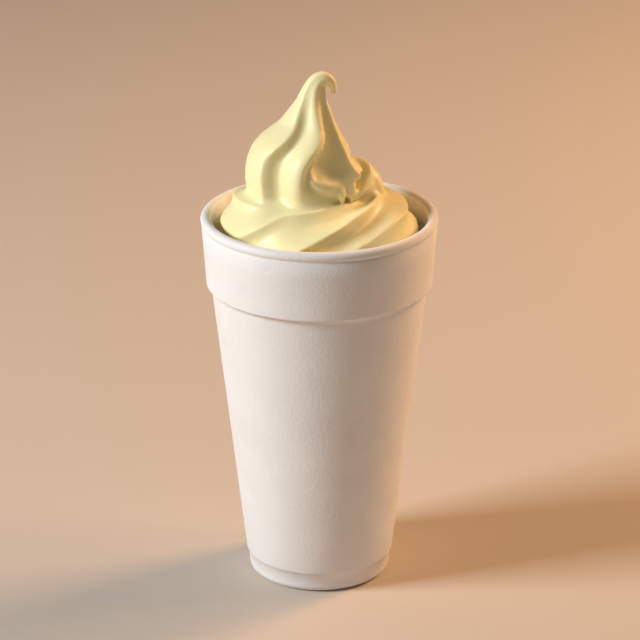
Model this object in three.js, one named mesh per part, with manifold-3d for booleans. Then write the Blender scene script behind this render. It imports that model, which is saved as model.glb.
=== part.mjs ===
// A pineapple soft serve milkshake in its foam cup, in millimetres, +Z up.
// The cup stands on its foot ring at z = 0, centred on the Z axis. The front of the swirl faces -Y.
// The soft serve is a thick rope with ridges, as a star-shaped nozzle gives them. It coils once round
// the mouth of the cup, and its free end is pulled up into a lobe with a tip that hooks over.

import * as THREE from "three";
import { mergeVertices } from "three/addons/utils/BufferGeometryUtils.js";
import Module from "manifold-3d";

const wasm = await Module();
wasm.setup();

const radians = THREE.MathUtils.degToRad;
const { clamp, lerp } = THREE.MathUtils;

// Driving sizes of the cup.
const cup = {
  rimHeight: 149.6,
  lipRadius: 46,
  lipBead: 2,
  neckInset: 0.35,
  collarBottom: 121.3,
  collarStep: 1.9,
  collarRound: 1,
  bodyTopRadius: 42.2,
  bodySlope: 0.1166,
  bandHeight: 8.8,
  bandStep: 0.8,
  bandEdge: 0.4,
  footRadius: 25,
  footRound: 3,
  footFlat: 3,
  recess: 2,
  recessSlope: 0.8,
  innerRadius: 40,
  mouthSlope: 0.062,
  floorTop: 6.5,
  floorChamfer: 2,
  ledgeHeight: 144,
  ledgeDrop: 0.4,
};
const cupSides = 56;
const cupRings = [45, 83];

// What separates the soft serve from the cup wall and floor.
const clearance = 0.3;

// Driving sizes of the coiled rope of soft serve that lies in the mouth of the cup. Angles round the
// rope are 0 outward and 90 on top.
const coil = {
  contactHeight: 124,
  ropeRadius: 21,
  ropeHeight: 140,
  crownHeight: 158,
  firstAzimuth: -55,
  wallAngle: -37,
  crownAngle: 117,
  groovePlace: 0.62,
  crispness: 0.82,
};
const coilColumns = 76;
const ropeStep = 7;
const fillRings = [40, 85];

// Where the lobe's rings stop being level, and where its ridges fade towards the tip, as ways along it.
const lobe = {
  levelTo: 195,
  squareFrom: 204,
  fadeFrom: 203,
  fadeTo: 211,
};
const lobeSidesPerCrest = 8;
// How finely the lobe is divided, as [way from, way to, steps].
const lobeStretches = [[152, 158, 3], [158, 172, 11], [172, 204, 14], [204, 214.9, 7]];

// Smooth value at t through rows of [t, value, ...], held level past both ends.
function through(rows, t, column = 1) {
  const last = rows.length - 1;
  if (t <= rows[0][0]) return rows[0][column];
  if (t >= rows[last][0]) return rows[last][column];
  let i = 0;
  while (t > rows[i + 1][0]) i += 1;
  const before = rows[Math.max(i - 1, 0)];
  const start = rows[i];
  const end = rows[i + 1];
  const after = rows[Math.min(i + 2, last)];
  const span = end[0] - start[0];
  const rise = end[column] - start[column];
  const slopeIn = ((end[column] - before[column]) / (end[0] - before[0])) * span;
  const slopeOut = ((after[column] - start[column]) / (after[0] - start[0])) * span;
  const u = (t - start[0]) / span;
  const bend = (slopeIn - rise) * (1 - u) + (rise - slopeOut) * u;
  return start[column] + u * rise + u * (1 - u) * bend;
}

// Share of the way down from a crest to a groove, at a share of the distance between them.
// Crispness runs from 0, a round wave, to 1, a crest that falls away steeply at once.
const steepness = 2.4;

function fall(away, crispness) {
  const round = 0.5 - 0.5 * Math.cos(Math.PI * away);
  const sharp = 1 - (1 - away) ** steepness;
  return lerp(round, sharp, crispness);
}

// Distance out to the surface between two crests. A crest has an angle, a reach, the depth of the
// groove after it and where that groove lies between it and the next crest, from 0 to 1.
function ridged(low, high, angle, crispAfter, crispBefore) {
  const u = clamp((angle - low.angle) / (high.angle - low.angle), 0, 1);
  const bottom = lerp(low.reach, high.reach, low.groove) - low.depth;
  if (u < low.groove) return lerp(low.reach, bottom, fall(u / low.groove, crispAfter));
  return lerp(high.reach, bottom, fall((1 - u) / (1 - low.groove), crispBefore));
}

// Closed body from rings of points, each ring going round once, with its two ends closed by fans.
function closedBody(rings, startPoint, endPoint) {
  const count = rings[0].length;
  const points = [startPoint, ...rings.flat(), endPoint];
  const faces = [];
  const at = (ring, k) => 1 + ring * count + (k % count);
  for (let k = 0; k < count; k += 1) faces.push(0, at(0, k + 1), at(0, k));
  for (let ring = 0; ring < rings.length - 1; ring += 1) {
    for (let k = 0; k < count; k += 1) {
      faces.push(at(ring, k), at(ring, k + 1), at(ring + 1, k + 1));
      faces.push(at(ring, k), at(ring + 1, k + 1), at(ring + 1, k));
    }
  }
  const end = points.length - 1;
  for (let k = 0; k < count; k += 1) {
    faces.push(end, at(rings.length - 1, k), at(rings.length - 1, k + 1));
  }
  return new wasm.Manifold(new wasm.Mesh({
    numProp: 3,
    vertProperties: new Float32Array(points.flatMap((p) => [p.x, p.y, p.z])),
    triVerts: new Uint32Array(faces),
  }));
}

// Inner wall of the cup at a height.
function innerRadius(z) {
  const aboveStep = z - cup.collarBottom;
  return cup.innerRadius + (aboveStep > 0 ? cup.mouthSlope : cup.bodySlope) * aboveStep;
}

// Crests of the coiled rope. A row is [azimuth round the cup, angle round the rope, reach in mm, depth
// in mm of the groove above it]. Azimuth 0 is the front and 90 the right. The rope makes more than one
// turn, so a crest goes on past 360 degrees and climbs onto the turn below.
const coilCrests = [
  [[60, -60, 14, 2], [90, -40, 15, 2], [180, -30, 16, 2.4], [270, -22, 16, 2.4], [305, -18, 16, 2.4]],
  [[-55, -18, 16, 2.4], [-29, 6, 17.5, 2.6], [-4, 33, 18.6, 3.2], [1, 38.6, 18.7, 3.2], [8, 45.6, 18.8, 3.6],
    [17, 54, 18.8, 3.8], [26, 63, 18.8, 3.6], [37, 70, 18.8, 3], [50, 77, 18.9, 2.6], [66, 82.5, 19.2, 2],
    [80, 87, 19.8, 2], [110, 95, 19.6, 2.4], [180, 98, 19, 2.6], [270, 100, 20, 2], [330, 108, 18, 1],
    [400, 125, 16, 1]],
  [[-55, -50, 14, 2], [0, -8, 17, 2.6], [24, 25, 18.6, 3.2], [31, 29, 18.6, 3.4], [38, 34, 18.6, 3.4],
    [48, 40, 18.8, 3.2], [62, 44, 18.8, 2.6], [77, 43, 18.8, 2.4], [90, 43, 18.4, 2.4],
    [120, 44, 18.4, 2.6], [180, 46, 18.8, 2.6], [235, 50.5, 19.2, 2], [255, 53, 20.6, 1.6],
    [270, 55, 21.5, 1.2], [290, 59, 21, 0.9], [305, 67, 19.8, 0.7], [320, 83, 18.5, 0.6],
    [340, 103, 17, 0.6], [380, 116, 16, 1], [440, 125, 15, 1]],
  [[20, -55, 14, 2], [50, -20, 16, 2.6], [70, 2, 17.8, 2.8], [90, 17, 18.1, 2.8], [130, 20, 16.6, 2.6],
    [180, 22, 16, 2.6], [220, 22, 16.6, 2.4], [270, 22, 18.8, 1.8], [300, 22, 17.8, 1.4],
    [307, 26, 18, 1], [314, 36, 18.2, 0.5], [320, 47, 18.2, 0.4], [325, 57, 18.3, 0.4],
    [331, 68, 18.4, 0.6], [344, 78, 18.4, 1], [356, 86, 18.4, 1.6], [363, 91, 18.5, 1.6],
    [374, 97, 18.8, 1.2], [390, 100, 19.2, 1], [410, 104, 19.2, 1], [450, 110, 17, 1]],
];

// Plain low crests that stand below the first ridge and past the last one in every slice.
const plainBelow = { angle: -90, reach: 14, depth: 0.5, groove: coil.groovePlace };
const plainBeyond = { angle: 200, reach: 14, depth: 0, groove: coil.groovePlace };

// The crests that a slice at this azimuth cuts, from below the rope's outside to beyond its top.
function crestsRoundRope(azimuth) {
  const crests = [plainBelow];
  for (const rows of coilCrests) {
    for (const turn of [azimuth, azimuth + 360]) {
      if (turn >= rows[0][0] && turn < rows[rows.length - 1][0]) {
        const [angle, reach, depth] = [1, 2, 3].map((column) => through(rows, turn, column));
        crests.push({ angle, reach, depth, groove: coil.groovePlace });
      }
    }
  }
  crests.push(plainBeyond);
  return crests.sort((a, b) => a.angle - b.angle);
}

// The rope's outline in one slice, as [radius, height], from the wall to the crown.
function ropeOutline(azimuth) {
  const crests = crestsRoundRope(azimuth);
  const outline = [];
  let i = 0;
  for (let angle = coil.wallAngle; angle <= coil.crownAngle; angle += ropeStep) {
    while (i < crests.length - 2 && angle > crests[i + 1].angle) i += 1;
    const out = ridged(crests[i], crests[i + 1], angle, coil.crispness, coil.crispness);
    const turned = radians(angle);
    outline.push([coil.ropeRadius + out * Math.cos(turned), coil.ropeHeight + out * Math.sin(turned)]);
  }
  return outline;
}

// The coil in the mouth of the cup and the fill below it, down to the floor.
function coilBody() {
  const { floorTop, floorChamfer } = cup;
  const floorEdge = [innerRadius(floorTop) - floorChamfer - clearance, floorTop + clearance];
  const wall = [floorTop + floorChamfer + clearance, ...fillRings, coil.contactHeight]
    .map((z) => [innerRadius(z) - clearance, z]);
  const columns = [];
  for (let k = 0; k < coilColumns; k += 1) {
    const azimuth = coil.firstAzimuth + (360 * k) / coilColumns;
    columns.push({ azimuth: radians(azimuth), profile: [floorEdge, ...wall, ...ropeOutline(azimuth)] });
  }
  const rings = columns[0].profile.map((_, row) => columns.map(({ azimuth, profile }) => {
    const [r, z] = profile[row];
    return new THREE.Vector3(r * Math.sin(azimuth), -r * Math.cos(azimuth), z);
  }));
  const bottom = new THREE.Vector3(0, 0, floorTop + clearance);
  const top = new THREE.Vector3(0, 0, coil.crownHeight);
  return closedBody(rings, bottom, top);
}

// The upper lobe: the rope's end, pulled up into a tip that hooks over to the right.
// A row is [way along the pull, x, y, z of the middle, radius]; the way is the height up to the neck.
const lobeRows = [
  [146, -5.0, 3.0, 146.0, 12.0],
  [152, -6.4, 2.0, 152.0, 15.5],
  [156, -7.2, 1.2, 156.0, 18.4],
  [159, -7.6, 0.6, 159.0, 19.9],
  [162, -7.9, 0.2, 162.0, 20.5],
  [166.5, -8.0, 0.0, 166.5, 20.6],
  [170, -8.0, 0.0, 170.0, 20.3],
  [173.6, -7.8, 0.0, 173.6, 19.5],
  [177, -7.2, 0.0, 177.0, 18.6],
  [180.6, -6.1, 0.0, 180.6, 16.9],
  [184, -5.0, 0.0, 184.0, 14.0],
  [187, -4.3, 0.0, 187.0, 11.1],
  [191.2, -3.7, 0.0, 191.2, 8.4],
  [195, -3.1, 0.0, 195.0, 6.2],
  [199.4, -2.2, 0.0, 199.4, 4.5],
  [203.2, -0.5, 0.0, 202.8, 3.4],
  [206.4, 2.0, 0.0, 203.9, 2.7],
  [209.4, 4.4, 0.0, 202.4, 1.95],
  [212, 5.25, 0.0, 200.2, 1.4],
  [213.6, 5.4, 0.0, 198.7, 1.1],
  [214.5, 5.35, 0.0, 197.8, 0.8],
  [214.9, 5.3, 0.0, 197.5, 0.35],
];
// Crests of the lobe, from the back by the left, the front and the right. Each has the place of the
// groove after it, and how crisp the surface is after the crest and before the next one. A row is
// [way along, azimuth, reach, depth of the groove]. Reach 1 is the lobe's own radius there, and depths
// are shares of that radius too.
const lobeCrests = {
  behindLeft: {
    groove: 0.5,
    crispAfter: 0.5,
    crispBefore: 0.1,
    rows: [[146, -110, 2.1, 0.08], [150, -118, 1.8, 0.08], [154, -128, 1.4, 0.1], [155.5, -132, 1.3, 0.11],
      [156.5, -135, 1.2, 0.12], [157.5, -138, 1.1, 0.14], [159, -141, 1.03, 0.15], [161, -145, 1, 0.16],
      [170, -150, 1, 0.16], [185, -148, 1, 0.16], [200, -140, 1, 0.12]],
  },
  farLeft: {
    groove: 0.5,
    crispAfter: 0,
    crispBefore: 0,
    rows: [[146, -66, 2.1, 0.02], [150, -70, 1.75, 0.02], [154, -78, 1.38, 0.02], [155.5, -82, 1.25, 0.02],
      [156.5, -85, 1.14, 0.02], [157.5, -87, 1.05, 0.02], [158.5, -90, 1, 0.02], [161, -93, 1, 0.02],
      [170, -96, 1, 0.02], [185, -102, 1, 0.02], [200, -98, 1, 0.02]],
  },
  left: {
    groove: 0.34,
    crispAfter: 0.4,
    crispBefore: 0,
    rows: [[146, -14, 2.2, 0.04], [150, -20, 1.9, 0.05], [154, -27, 1.52, 0.08], [155.5, -30, 1.42, 0.1],
      [156.5, -32, 1.34, 0.12], [157.5, -35, 1.2, 0.14], [159, -38, 1.08, 0.17], [161, -41, 1.03, 0.2],
      [164, -43, 1, 0.22], [168, -44, 1, 0.24], [172, -45, 1, 0.25], [176, -44, 1, 0.26],
      [179.5, -38, 1, 0.27], [183, -31, 1, 0.28], [186.2, -29, 1, 0.28], [189.5, -31, 1, 0.26],
      [193, -35, 1, 0.24], [196.4, -40, 1, 0.2], [200, -45, 1, 0.16]],
  },
  middle: {
    groove: 0.62,
    crispAfter: 0,
    crispBefore: 0.1,
    rows: [[146, 12, 2, 0], [150, 10, 1.75, 0], [154, 8, 1.44, 0], [156, 8, 1.27, 0], [158, 7, 1.12, 0],
      [159.5, 5, 1.04, 0], [161, 4, 1.02, 0.03], [163, 3, 1.02, 0.05], [166.9, 2, 1.03, 0.07],
      [170.3, 3, 1.03, 0.06], [174, 6, 1.03, 0.06], [177.3, 11, 1.02, 0.06], [181, 19, 1.02, 0.07],
      [184.4, 24, 1.02, 0.08], [188.8, 25, 1.02, 0.07], [194.8, 18, 1.02, 0.06], [200.5, 12, 1.02, 0.05]],
  },
  edgeOfHollow: {
    groove: 0.42,
    crispAfter: 0.3,
    crispBefore: 0,
    rows: [[146, 74, 1.9, 0], [150, 78, 1.65, 0], [154, 82, 1.35, 0], [156, 84, 1.2, 0], [158, 82, 1.06, 0],
      [159.5, 72, 1, 0], [160.8, 58, 1.01, 0], [162.2, 47, 1.03, 0], [163.7, 38, 1.04, 0],
      [165.8, 25, 1.02, 0], [168.8, 16, 1, 0], [170, 15, 0.98, 0.04], [171.2, 14, 0.97, 0.1],
      [173.4, 15, 0.96, 0.16], [176.4, 20, 0.96, 0.2], [179.7, 27, 0.96, 0.22], [183.2, 33, 0.95, 0.23],
      [186.6, 36, 0.94, 0.23], [190.4, 36, 0.94, 0.23], [195.3, 31, 0.95, 0.22], [200, 25, 0.96, 0.2]],
  },
  floorOfHollow: {
    groove: 0,
    crispAfter: 0,
    crispBefore: 0.6,
    rows: [[146, 88, 1.8, 0], [150, 92, 1.6, 0], [154, 94, 1.3, 0], [156, 94, 1.14, 0], [158, 90, 1.03, 0],
      [159.5, 80, 1, 0], [160.8, 70, 1.02, 0], [162.2, 60, 1.06, 0], [163.7, 53, 1.07, 0],
      [165.2, 48, 1.06, 0], [166.6, 44, 1.02, 0], [167.8, 41, 0.95, 0], [169, 39, 0.87, 0],
      [170.4, 37, 0.8, 0], [172.4, 36, 0.74, 0], [175, 37, 0.7, 0], [178, 42, 0.71, 0], [183, 47, 0.74, 0],
      [188, 49, 0.78, 0], [196, 46, 0.84, 0]],
  },
  sail: {
    groove: 0.4,
    crispAfter: 0.8,
    crispBefore: 0.3,
    rows: [[155, 108, 0.88, 0.04], [158, 104, 0.9, 0.04], [160, 92, 0.95, 0.05], [162, 76, 1.03, 0.06],
      [163.5, 68, 1.07, 0.08], [165, 67, 1.12, 0.1], [166.2, 68, 1.19, 0.1], [167.4, 68, 1.27, 0.1],
      [168.5, 67, 1.28, 0.1], [170.9, 65, 1.2, 0.08], [174.3, 63, 1.12, 0.06], [178, 62, 1.05, 0.05],
      [182.3, 61, 0.99, 0.05], [187.4, 61, 1.06, 0.05], [191.7, 63, 1.1, 0.05], [195.6, 66, 1.1, 0.05],
      [200, 67, 1.12, 0.05]],
  },
  behindSail: {
    groove: 0.5,
    crispAfter: 0.6,
    crispBefore: 0.2,
    rows: [[155, 128, 1.1, 0.1], [160, 112, 0.98, 0.1], [163, 94, 0.96, 0.1], [164.5, 88, 1.06, 0.1],
      [165.8, 88, 1.22, 0.1], [167.5, 92, 1.25, 0.1], [169.5, 97, 1.12, 0.1], [171.3, 99, 1, 0.1],
      [173.7, 99, 1, 0.12], [176.2, 99, 1, 0.12], [178.6, 100, 0.93, 0.12], [182.4, 100, 0.87, 0.12],
      [186.2, 100, 0.89, 0.12], [189.9, 100, 0.94, 0.12], [200, 100, 1, 0.1]],
  },
  back: {
    groove: 0.5,
    crispAfter: 0.5,
    crispBefore: 0.2,
    rows: [[146, 196, 1.9, 0.1], [150, 190, 1.7, 0.1], [155, 182, 1.5, 0.12], [156, 180, 1.45, 0.13],
      [157, 178, 1.3, 0.14], [158, 176, 1.15, 0.16], [159, 174, 1.06, 0.16], [162, 168, 1, 0.17],
      [170, 158, 1, 0.18], [185, 154, 1, 0.18], [200, 150, 1, 0.12]],
  },
};

// One ring of the lobe as [azimuth, radius], with a point on every crest. The ridges fade at the hook.
function lobeRing(way) {
  const fade = clamp((way - lobe.fadeFrom) / (lobe.fadeTo - lobe.fadeFrom), 0, 1);
  const crests = Object.values(lobeCrests).map(({ rows, ...shape }) => ({
    ...shape,
    angle: through(rows, way),
    reach: lerp(through(rows, way, 2), 1, fade),
    depth: through(rows, way, 3) * (1 - fade),
  }));
  const radius = through(lobeRows, way, 4);
  const next = [...crests.slice(1), { ...crests[0], angle: crests[0].angle + 360 }];
  const ring = [];
  crests.forEach((low, i) => {
    for (let k = 0; k < lobeSidesPerCrest; k += 1) {
      const azimuth = lerp(low.angle, next[i].angle, k / lobeSidesPerCrest);
      ring.push([azimuth, radius * ridged(low, next[i], azimuth, low.crispAfter, low.crispBefore)]);
    }
  });
  return ring;
}

// Level rings up to the neck, which then turn square to the lobe's middle line.
function lobeBody() {
  const middle = (way) => new THREE.Vector3(...[1, 2, 3].map((column) => through(lobeRows, way, column)));
  const up = new THREE.Vector3(0, 0, 1);
  const ways = [lobeStretches[0][0]];
  for (const [from, to, steps] of lobeStretches) {
    for (let k = 1; k <= steps; k += 1) ways.push(lerp(from, to, k / steps));
  }
  const rings = ways.map((way) => {
    const bend = THREE.MathUtils.smoothstep(way, lobe.levelTo, lobe.squareFrom);
    const along = middle(way + 0.5).sub(middle(way - 0.5)).normalize();
    const heading = up.clone().lerp(along, bend).normalize();
    const right = new THREE.Vector3(heading.z, 0, -heading.x).normalize();
    const front = new THREE.Vector3().crossVectors(right, heading);
    return lobeRing(way).map(([azimuth, out]) => middle(way)
      .addScaledVector(right, out * Math.sin(radians(azimuth)))
      .addScaledVector(front, out * Math.cos(radians(azimuth))));
  });
  return closedBody(rings, middle(ways[0]), middle(ways[ways.length - 1]));
}

// A strand with an oval section along a smooth line. A row is [x, y, z, half thickness, half width],
// and the width lies as near as it can along wideWay.
function strand(rows, wideWay, steps, sides) {
  const stations = rows.map((row, i) => [i, ...row]);
  const end = rows.length - 1;
  const middles = [];
  for (let k = 0; k <= steps; k += 1) {
    const t = (end * k) / steps;
    middles.push(new THREE.Vector3(...[1, 2, 3].map((column) => through(stations, t, column))));
  }
  const rings = middles.map((middle, k) => {
    const ahead = middles[Math.min(k + 1, steps)].clone().sub(middles[Math.max(k - 1, 0)]);
    const heading = ahead.normalize();
    const wide = wideWay.clone().addScaledVector(heading, -wideWay.dot(heading)).normalize();
    const thin = new THREE.Vector3().crossVectors(heading, wide);
    const t = (end * k) / steps;
    const ring = [];
    for (let side = 0; side < sides; side += 1) {
      const turned = (2 * Math.PI * side) / sides;
      ring.push(middle.clone()
        .addScaledVector(wide, through(stations, t, 5) * Math.cos(turned))
        .addScaledVector(thin, through(stations, t, 4) * Math.sin(turned)));
    }
    return ring;
  });
  return closedBody(rings, middles[0], middles[steps]);
}

// A ribbon that curls out behind the sail's corner and tucks back under the lip, round a small hole.
const curlRows = [
  [12.0, 3.0, 169.6, 1.8, 1.6],
  [15.6, 2.2, 169.4, 1.9, 1.6],
  [18.0, 0.6, 168.4, 1.9, 1.6],
  [18.9, -1.8, 166.7, 1.8, 1.6],
  [18.3, -4.4, 164.8, 1.9, 1.6],
  [16.9, -7.2, 162.9, 1.8, 1.6],
  [15.3, -9.6, 161.3, 1.6, 1.5],
  [13.4, -11.2, 160.4, 1.5, 1.4],
  [11.2, -12.0, 160.6, 1.4, 1.3],
];
// A second, wider fold behind the ribbon, which runs down into the coil.
const foldRows = [
  [8.4, 7.0, 163.8, 3.6, 4.0],
  [12.8, 6.0, 164.9, 3.8, 5.0],
  [16.6, 5.0, 164.4, 4.0, 5.4],
  [19.0, 4.0, 162.6, 4.1, 5.4],
  [20.3, 2.8, 160.2, 4.2, 5.4],
  [20.9, 1.6, 157.4, 4.2, 5.4],
  [21.0, 0.6, 154.0, 4.2, 5.2],
  [20.6, 0.0, 150.0, 4.2, 4.6],
];
// The nub where the ribbon comes back under the sail.
const nubRows = [
  [10.6, -8.6, 166.6, 1.6, 1.8],
  [11.3, -10.3, 165.8, 2.0, 2.3],
  [11.6, -11.2, 164.2, 2.0, 2.4],
  [11.7, -11.8, 162.4, 2.0, 2.4],
  [11.6, -12.2, 160.4, 1.6, 2.0],
];
// The small tooth that hangs from the lip of the hollow.
const toothRows = [
  [6.6, -12.0, 164.8, 2.0, 3.0],
  [7.2, -13.4, 164.0, 2.1, 2.8],
  [8.0, -14.5, 162.6, 1.9, 2.1],
  [8.4, -15.1, 160.9, 1.4, 1.4],
  [8.8, -15.4, 159.2, 0.7, 0.7],
];
// The shoulder behind all of these, where the rope turns up into the lobe.
const shoulderRows = [
  [12.5, 4.0, 142.0, 10, 10],
  [12.5, 4.0, 150.0, 12.5, 12.5],
  [12.6, 3.6, 156.0, 12.8, 12.8],
  [12.6, 3.6, 159.4, 11.2, 11.2],
  [12.0, 5.0, 163.0, 7.6, 7.6],
  [11.2, 6.4, 166.0, 4.4, 4.4],
  [10.8, 7.0, 168.0, 2.0, 2.0],
  [10.7, 7.0, 168.4, 0.6, 0.6],
];
const facing = new THREE.Vector3(0, -0.7, 0.7);
const deep = new THREE.Vector3(-0.25, 1, 0.1);
const across = new THREE.Vector3(1, 0.3, 0);

// Half outline of the foam cup as [radius, height], from the recess under the floor, round the foot,
// up the outside to the lip and down the inside to the floor.
function cupOutline() {
  const { collarBottom, bodyTopRadius, footRadius, footFlat, floorTop, floorChamfer } = cup;
  const bodyRadius = (z) => bodyTopRadius - cup.bodySlope * (collarBottom - z);
  const arc = (radius, z, size, start, end, step) => {
    const points = [];
    for (let turn = start; turn <= end; turn += step) {
      points.push([radius + size * Math.cos(radians(turn)), z + size * Math.sin(radians(turn))]);
    }
    return points;
  };
  const beadRadius = cup.lipRadius - cup.lipBead;
  const beadHeight = cup.rimHeight - cup.lipBead;
  const collarRadius = bodyTopRadius + cup.collarStep;
  const { collarRound } = cup;
  const outline = [
    [0, cup.recess],
    [footRadius - footFlat - cup.recessSlope, cup.recess],
    [footRadius - footFlat, 0],
    ...arc(footRadius, cup.footRound, cup.footRound, -90, 0, 30),
    [bodyRadius(cup.bandHeight) - cup.bandStep, cup.bandHeight - cup.bandEdge],
    [bodyRadius(cup.bandHeight), cup.bandHeight],
    ...cupRings.map((z) => [bodyRadius(z), z]),
    [bodyTopRadius, collarBottom],
    ...arc(collarRadius - collarRound, collarBottom + collarRound, collarRound, -60, 0, 30),
    [cup.lipRadius - cup.neckInset, beadHeight - cup.lipBead],
    ...arc(beadRadius, beadHeight, cup.lipBead, -50, 170, 27.5),
    [beadRadius - cup.lipBead, cup.ledgeHeight + cup.ledgeDrop],
    [innerRadius(cup.ledgeHeight), cup.ledgeHeight],
    [innerRadius(collarBottom), collarBottom],
    ...cupRings.toReversed().map((z) => [innerRadius(z), z]),
    [innerRadius(floorTop + floorChamfer), floorTop + floorChamfer],
    [innerRadius(floorTop) - floorChamfer, floorTop],
    [0, floorTop],
  ];
  return outline.map(([r, z]) => new THREE.Vector2(r, z));
}

function cupMesh() {
  const foam = new THREE.MeshStandardMaterial({ color: 0xf3f1ee, roughness: 0.75, metalness: 0 });
  const turned = new THREE.LatheGeometry(cupOutline(), cupSides);
  turned.rotateX(Math.PI / 2);
  turned.deleteAttribute("normal");
  turned.deleteAttribute("uv");
  const geometry = mergeVertices(turned, 1e-4);
  geometry.computeVertexNormals();
  const mesh = new THREE.Mesh(geometry, foam);
  mesh.name = "cup";
  return mesh;
}

function swirlMesh() {
  const cream = new THREE.MeshStandardMaterial({ color: 0xf6e6a8, roughness: 0.42, metalness: 0 });
  const swirl = [
    lobeBody(),
    strand(shoulderRows, deep, 9, 24),
    strand(foldRows, deep, 12, 14),
    strand(curlRows, facing, 16, 10),
    strand(nubRows, across, 6, 10),
    strand(toothRows, across, 7, 10),
  ].reduce((whole, piece) => whole.add(piece), coilBody());
  const { vertProperties, triVerts } = swirl.getMesh();
  const geometry = new THREE.BufferGeometry();
  geometry.setAttribute("position", new THREE.BufferAttribute(vertProperties, 3));
  geometry.setIndex(new THREE.BufferAttribute(triVerts, 1));
  geometry.computeVertexNormals();
  const mesh = new THREE.Mesh(geometry, cream);
  mesh.name = "soft_serve";
  return mesh;
}

const milkshake = new THREE.Group();
milkshake.add(cupMesh(), swirlMesh());

export default milkshake;
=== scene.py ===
# %% [markdown]
# This scene dresses a pineapple soft serve milkshake: pale yellow soft serve piled in a white foam cup.
# The real thing is made in one go. A machine presses the frozen cream through a star-shaped nozzle, so
# that it comes out as a thick ridged rope. The rope coils once round the mouth of the cup, climbs onto
# itself, and is pulled up and away, which draws it out into a lobe with a thin tip that falls over.
# The frame comes first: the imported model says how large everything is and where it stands.

# %% Load the frame
import math

import bmesh
import bpy
import numpy as np
from mathutils import Matrix, Vector


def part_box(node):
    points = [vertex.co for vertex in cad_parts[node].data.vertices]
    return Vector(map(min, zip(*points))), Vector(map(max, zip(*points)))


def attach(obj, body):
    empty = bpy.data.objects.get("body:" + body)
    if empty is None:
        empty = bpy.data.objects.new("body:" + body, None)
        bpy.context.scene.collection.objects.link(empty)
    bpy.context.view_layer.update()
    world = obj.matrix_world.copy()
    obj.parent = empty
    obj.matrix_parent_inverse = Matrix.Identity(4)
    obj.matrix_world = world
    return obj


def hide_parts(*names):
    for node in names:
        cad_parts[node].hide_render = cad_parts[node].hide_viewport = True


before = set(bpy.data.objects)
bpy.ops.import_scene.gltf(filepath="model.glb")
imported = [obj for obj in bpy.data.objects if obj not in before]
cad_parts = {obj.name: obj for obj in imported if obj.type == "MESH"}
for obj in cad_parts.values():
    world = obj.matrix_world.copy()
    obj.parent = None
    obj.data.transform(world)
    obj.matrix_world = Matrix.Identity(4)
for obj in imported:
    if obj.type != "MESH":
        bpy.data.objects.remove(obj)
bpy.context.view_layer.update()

# %% [markdown]
# Sizes are written in millimetres, as a maker would, and turned into metres when a mesh is finished.
# Angles are in degrees. Azimuth 0 is the front of the swirl, which faces -Y, and 90 is its right.

# %% Units
MM = 0.001
CENTRE = Vector((0, 0, 0))


def on_circle(radius, azimuth, z):
    """A point at a radius, an azimuth in degrees and a height."""
    turned = math.radians(azimuth)
    return Vector((radius * math.sin(turned), -radius * math.cos(turned), z))


print("a point 10 mm to the right of the axis:", tuple(on_circle(10, 90, 0)))

# %% [markdown]
# The camera stands where the photographer's did: a little over a metre from the cup, looking down on
# it by about twenty-two degrees through a long lens, so that the cup's sides stay almost straight.
# A near camera with a short lens would frame the cup as well, but it would pinch the foot.

# %% Camera
CAMERA_PLACE = Vector((0.00022, -1.16125, 0.56574))
LOOK_DOWN = 21.64
LENS = 179.46
SENSOR = 36.0
NEAREST = 0.01
FARTHEST = 20

camera_data = bpy.data.cameras.new("photo_camera")
camera_data.lens = LENS
camera_data.sensor_width = SENSOR
camera_data.clip_start = NEAREST
camera_data.clip_end = FARTHEST
camera = bpy.data.objects.new("photo_camera", camera_data)
camera.location = CAMERA_PLACE
camera.rotation_euler = (math.radians(90 - LOOK_DOWN), 0, 0)
bpy.context.scene.collection.objects.link(camera)
bpy.context.scene.camera = camera
print("camera looks down by", LOOK_DOWN, "degrees through a", LENS, "mm lens")

# %% [markdown]
# Most shapes here follow a few measured stations with a smooth curve between them. Blender's own
# curves could do that, but several values go along together here, such as a place, a reach and a
# depth. So one helper reads them all: a cubic whose slope at each station is the slope between its
# two neighbours.


# %% A smooth curve through stations
def through(rows, t, column=1):
    """Smooth value at t through rows of (t, value, ...), held level past both ends."""
    last = len(rows) - 1
    if t <= rows[0][0]:
        return rows[0][column]
    if t >= rows[last][0]:
        return rows[last][column]
    i = 0
    while t > rows[i + 1][0]:
        i += 1
    before, start, end, after = rows[max(i - 1, 0)], rows[i], rows[i + 1], rows[min(i + 2, last)]
    span = end[0] - start[0]
    rise = end[column] - start[column]
    slope_in = (end[column] - before[column]) / (end[0] - before[0]) * span
    slope_out = (after[column] - start[column]) / (after[0] - start[0]) * span
    u = (t - start[0]) / span
    bend = (slope_in - rise) * (1 - u) + (rise - slope_out) * u
    return start[column] + u * rise + u * (1 - u) * bend


def blend(a, b, share):
    """A value between a and b."""
    return a + (b - a) * share


def between(share):
    """The share, kept from 0 to 1."""
    return min(max(share, 0), 1)


print("half way between 0 and 10:", through([(0, 0), (1, 10)], 0.5))

# %% [markdown]
# The star nozzle gives the rope its ridges. Across the rope the surface runs from a crest down into a
# groove and up to the next crest. Fresh crests are crisp and valleys are wide, so the fall from a
# crest is steep at first. Where the cream has started to melt, the same fall is round like a wave.

# %% The ridged section of the rope
STEEPNESS = 2.4


def fall(away, crispness):
    """Share of the way down from a crest to a groove, at a share of the distance between them."""
    round_fall = 0.5 - 0.5 * math.cos(math.pi * away)
    sharp_fall = 1 - (1 - away) ** STEEPNESS
    return blend(round_fall, sharp_fall, crispness)


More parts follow.
